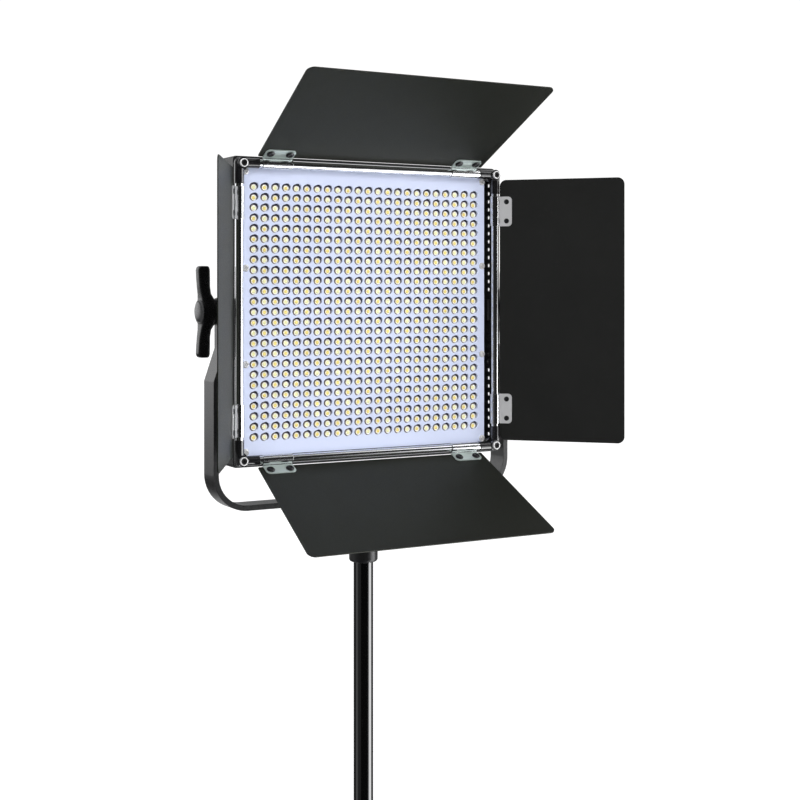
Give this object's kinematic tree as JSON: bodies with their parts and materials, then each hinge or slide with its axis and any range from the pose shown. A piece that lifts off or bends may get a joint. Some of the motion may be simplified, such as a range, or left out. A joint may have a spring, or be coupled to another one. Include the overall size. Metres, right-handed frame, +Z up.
{
  "type": "led panel light",
  "caption": "Square two-colour LED panel light with four hinged barn doors on chrome rods, a tilting U yoke with wing knobs, and the top tube of its stand.",
  "frame": {"origin": "centre of the stand tube's lower end", "axes": "+Z up along the stand tube, the lit face looks along -Y, +X to the right of someone facing the lit face"},
  "size_m": [0.4554, 0.2075, 0.7205],
  "materials": {
    "aluminium_raw": "mill",
    "black_coat": "satin black powder coat",
    "black_steel": "black oxide",
    "board_white": "coated",
    "brass": "plain",
    "chrome": "polished",
    "component_black": "moulded",
    "gloss_black": "gloss black",
    "leaf_coat": "fine matt black coat",
    "led_cool": "phosphor, cool",
    "led_warm": "phosphor, warm",
    "lens_dark": "tinted window",
    "pcb_green": "solder mask",
    "plastic_black": "fine grain",
    "plate_silver": "satin nickel",
    "red_plastic": "gloss black",
    "reflector_white": "satin white, faint blue",
    "steel": "zinc plated",
    "tube_gloss": "gloss black",
    "yoke_coat": "satin black powder coat"
  },
  "bodies": {
    "stand": {"stand_tube": "tube_gloss", "stand_spigot": "steel", "spigot_pin": "steel"},
    "yoke": {"yoke_bracket": "yoke_coat", "stand_receiver": "yoke_coat", "receiver_bolt": "steel", "receiver_washer": "steel"},
    "head": {"battery_contacts": "brass", "battery_shoe_left": "plastic_black", "battery_shoe_right": "plastic_black", "control_board": "pcb_green", "control_housing": "black_coat", "corner_bolts": "black_steel", "corner_brackets": "aluminium_raw", "corner_elbows": "gloss_black", "corner_posts": "chrome", "display_window": "lens_dark", "driver_board": "pcb_green", "driver_parts": "component_black", "friction_washers": "plastic_black", "heat_sink": "aluminium_raw", "led_board": "board_white", "leds_cool": "led_cool", "leds_warm": "led_warm", "plate_screws": "chrome", "plate_standoffs": "aluminium_raw", "power_inlet": "component_black", "rear_casing": "black_coat", "rear_screws": "black_steel", "reflector_plate": "reflector_white", "rocker_bearings": "plastic_black", "rod_bottom": "chrome", "rod_left": "chrome", "rod_right": "chrome", "rod_top": "chrome", "tilt_nuts": "steel"},
    "clamp_screw": {"receiver_knob": "plastic_black", "receiver_stud": "steel"},
    "tilt_lock_left": {"tilt_knob_left": "plastic_black", "tilt_stud_left": "steel"},
    "tilt_lock_right": {"tilt_knob_right": "plastic_black", "tilt_stud_right": "steel"},
    "brightness_knob": {"brightness_dial": "plastic_black"},
    "colour_knob": {"colour_dial": "plastic_black"},
    "mode_key": {"mode_button": "plastic_black"},
    "power_switch": {"power_rocker": "red_plastic"},
    "latch_left": {"battery_latch_left": "plastic_black"},
    "latch_right": {"battery_latch_right": "plastic_black"},
    "door_top": {"leaf_top": "leaf_coat", "hinge_plates_top": "plate_silver", "hinge_screws_top": "black_steel"},
    "door_bottom": {"leaf_bottom": "leaf_coat", "hinge_plates_bottom": "plate_silver", "hinge_screws_bottom": "black_steel"},
    "door_left": {"leaf_left": "leaf_coat", "hinge_plates_left": "plate_silver", "hinge_screws_left": "black_steel"},
    "door_right": {"leaf_right": "leaf_coat", "hinge_plates_right": "plate_silver", "hinge_screws_right": "black_steel"}
  },
  "joints": [
    {"name": "pan", "type": "hinge", "parent": "stand", "child": "yoke", "pos_m": [0, 0, 0.275], "axis": [0, 0, 1], "continuous": true},
    {"name": "receiver_clamp", "type": "hinge", "parent": "yoke", "child": "clamp_screw", "pos_m": [0, 0.025, 0.276], "axis": [0, -1, 0], "range_deg": [0, 180]},
    {"name": "tilt", "type": "hinge", "parent": "yoke", "child": "head", "pos_m": [0, 0, 0.505], "axis": [-1, 0, 0], "range_deg": [-6, 90]},
    {"name": "door_top_hinge", "type": "hinge", "parent": "head", "child": "door_top", "pos_m": [0, -0.0215, 0.646], "axis": [-1, 0, 0], "range_deg": [-78.4, 61.6]},
    {"name": "door_bottom_hinge", "type": "hinge", "parent": "head", "child": "door_bottom", "pos_m": [0, -0.0215, 0.364], "axis": [1, 0, 0], "range_deg": [-77, 63]},
    {"name": "door_left_hinge", "type": "hinge", "parent": "head", "child": "door_left", "pos_m": [-0.144, -0.0215, 0.505], "axis": [0, 0, -1], "range_deg": [-118.2, 61.8]},
    {"name": "door_right_hinge", "type": "hinge", "parent": "head", "child": "door_right", "pos_m": [0.144, -0.0215, 0.505], "axis": [0, 0, 1], "range_deg": [-135, 45]},
    {"name": "tilt_knob_left_turn", "type": "hinge", "parent": "head", "child": "tilt_lock_left", "pos_m": [-0.16, 0, 0.505], "axis": [1, 0, 0], "range_deg": [-90, 0]},
    {"name": "tilt_knob_right_turn", "type": "hinge", "parent": "head", "child": "tilt_lock_right", "pos_m": [0.16, 0, 0.505], "axis": [-1, 0, 0], "range_deg": [-40, 0]},
    {"name": "brightness_turn", "type": "hinge", "parent": "head", "child": "brightness_knob", "pos_m": [0.034, 0.05, 0.491], "axis": [0, 1, 0], "continuous": true},
    {"name": "colour_turn", "type": "hinge", "parent": "head", "child": "colour_knob", "pos_m": [-0.034, 0.05, 0.491], "axis": [0, 1, 0], "continuous": true},
    {"name": "mode_press", "type": "slide", "parent": "head", "child": "mode_key", "axis": [0, -1, 0], "range_m": [0, 0.001], "stiffness_N_per_m": 300},
    {"name": "power_rock", "type": "hinge", "parent": "head", "child": "power_switch", "pos_m": [0, 0.04, 0.445], "axis": [1, 0, 0], "range_deg": [-14, 14]},
    {"name": "latch_left_slide", "type": "slide", "parent": "head", "child": "latch_left", "axis": [0, 0, -1], "range_m": [0, 0.003], "stiffness_N_per_m": 200},
    {"name": "latch_right_slide", "type": "slide", "parent": "head", "child": "latch_right", "axis": [0, 0, -1], "range_m": [0, 0.003], "stiffness_N_per_m": 200}
  ]
}
